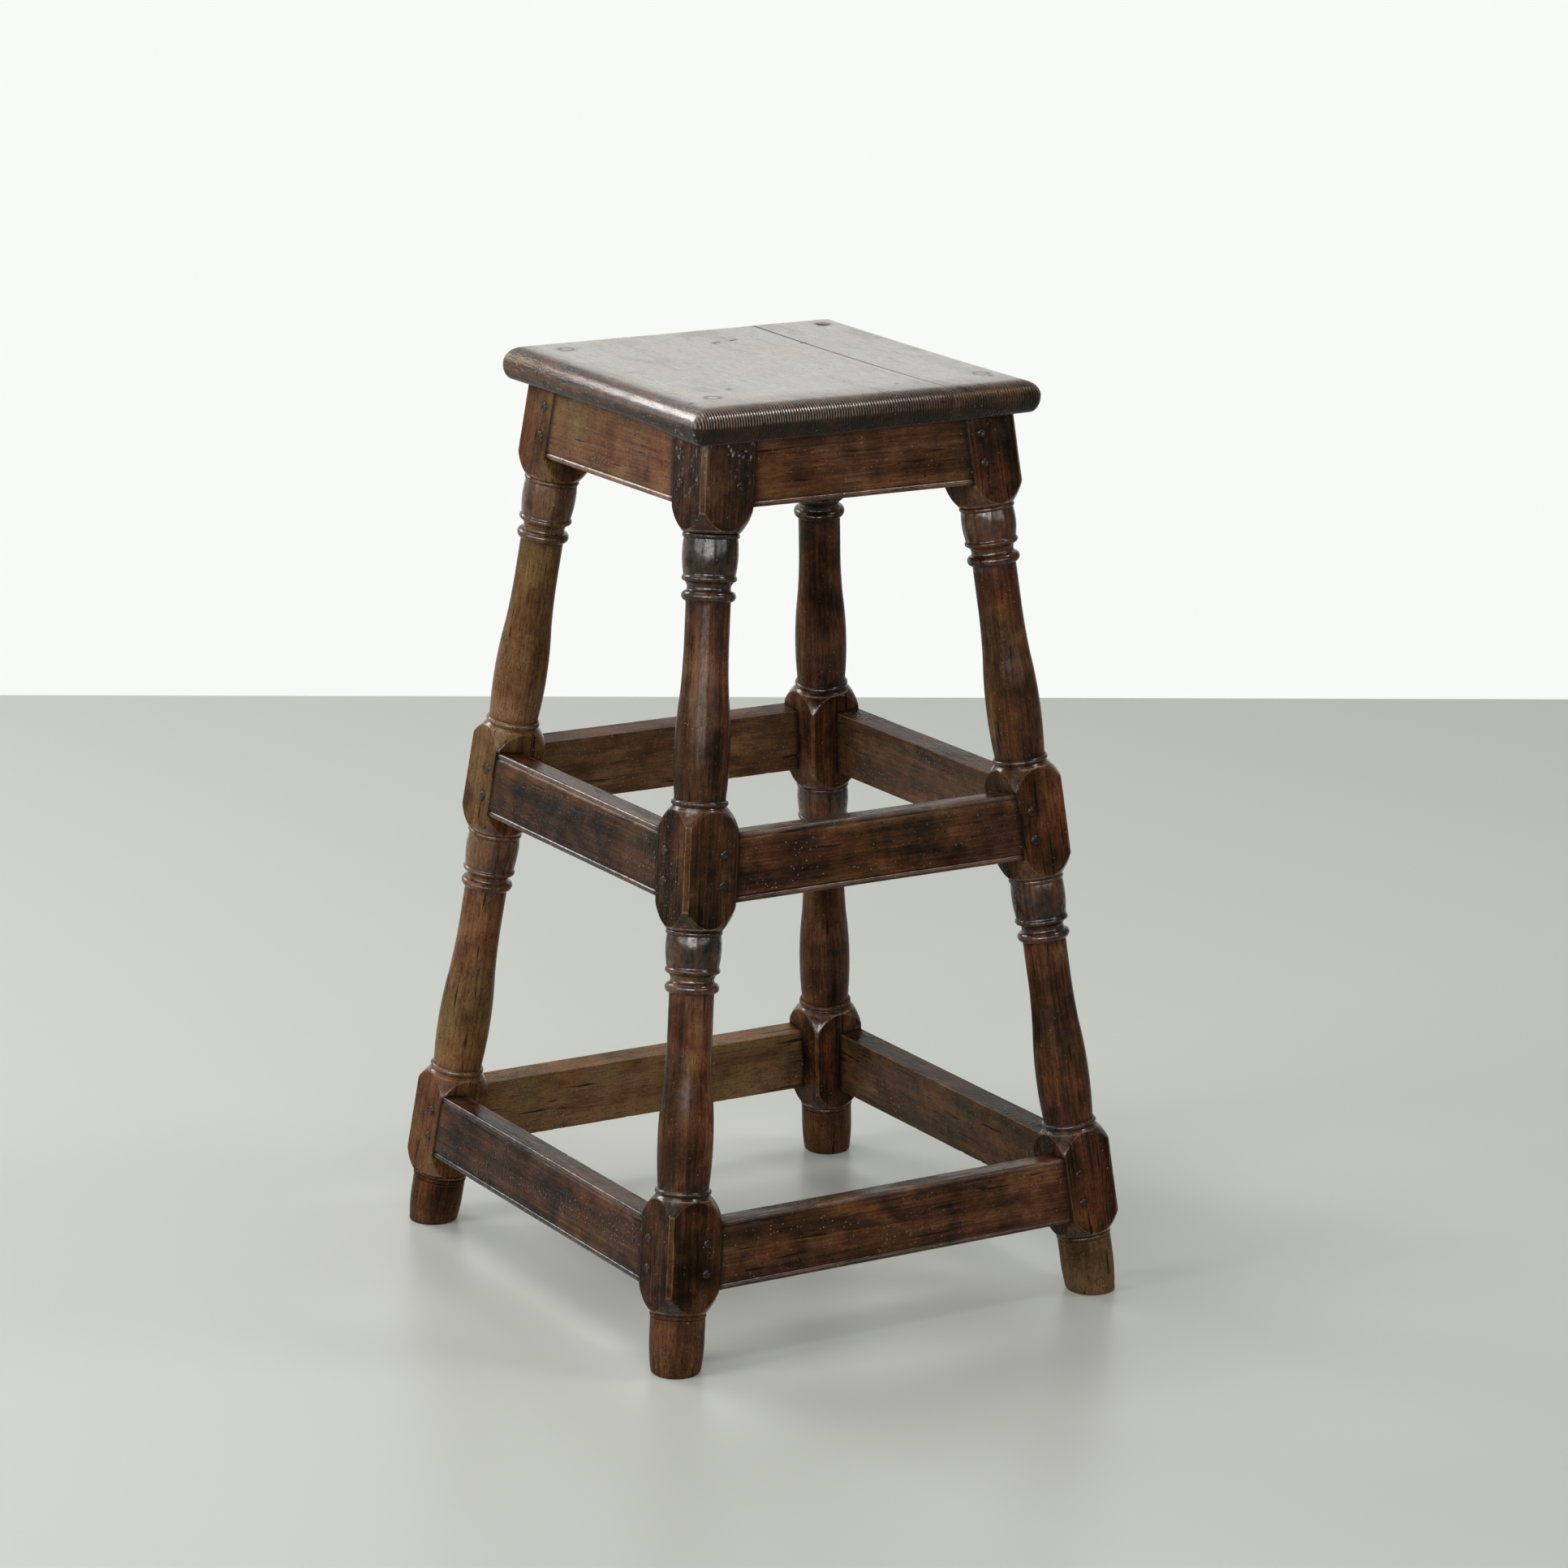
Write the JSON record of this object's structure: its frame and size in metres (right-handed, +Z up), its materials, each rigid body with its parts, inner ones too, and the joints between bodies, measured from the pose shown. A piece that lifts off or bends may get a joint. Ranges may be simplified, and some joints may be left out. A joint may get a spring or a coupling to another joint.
{
  "type": "joint stool",
  "caption": "High square oak joint stool with raking turned legs, moulded frieze rails, a middle and a low tier of stretchers and a boarded seat with rounded edges.",
  "frame": {"origin": "on the floor, under the middle of the seat", "axes": "+Z up; -Y is the front, the pictured face to the right of the nearest leg; +X towards that face's far leg"},
  "size_m": [0.4394, 0.4594, 0.7605],
  "materials": {
    "leg_oak": "old dark oak, turned and waxed, worn brown on the arrises",
    "rail_oak": "old dark oak, planed and waxed, red brown",
    "seat_oak": "old dark oak, polished by use, fine open grain",
    "peg_oak": "dark oak end grain, waxed"
  },
  "bodies": {
    "root": {"leg_front_right": "leg_oak", "leg_back_right": "leg_oak", "leg_back_left": "leg_oak", "leg_front_left": "leg_oak", "low_stretcher_front": "rail_oak", "low_stretcher_right": "rail_oak", "low_stretcher_back": "rail_oak", "low_stretcher_left": "rail_oak", "mid_stretcher_front": "rail_oak", "mid_stretcher_right": "rail_oak", "mid_stretcher_back": "rail_oak", "mid_stretcher_left": "rail_oak", "frieze_rail_front": "rail_oak", "frieze_rail_right": "rail_oak", "frieze_rail_back": "rail_oak", "frieze_rail_left": "rail_oak", "seat_board_wide": "seat_oak", "seat_board_narrow": "seat_oak", "pegs_front_right_low": "peg_oak", "pegs_front_right_mid": "peg_oak", "pegs_front_right_frieze": "peg_oak", "pegs_back_right_low": "peg_oak", "pegs_back_right_mid": "peg_oak", "pegs_back_right_frieze": "peg_oak", "pegs_back_left_low": "peg_oak", "pegs_back_left_mid": "peg_oak", "pegs_back_left_frieze": "peg_oak", "pegs_front_left_low": "peg_oak", "pegs_front_left_mid": "peg_oak", "pegs_front_left_frieze": "peg_oak", "seat_pegs": "peg_oak"}
  },
  "joints": []
}
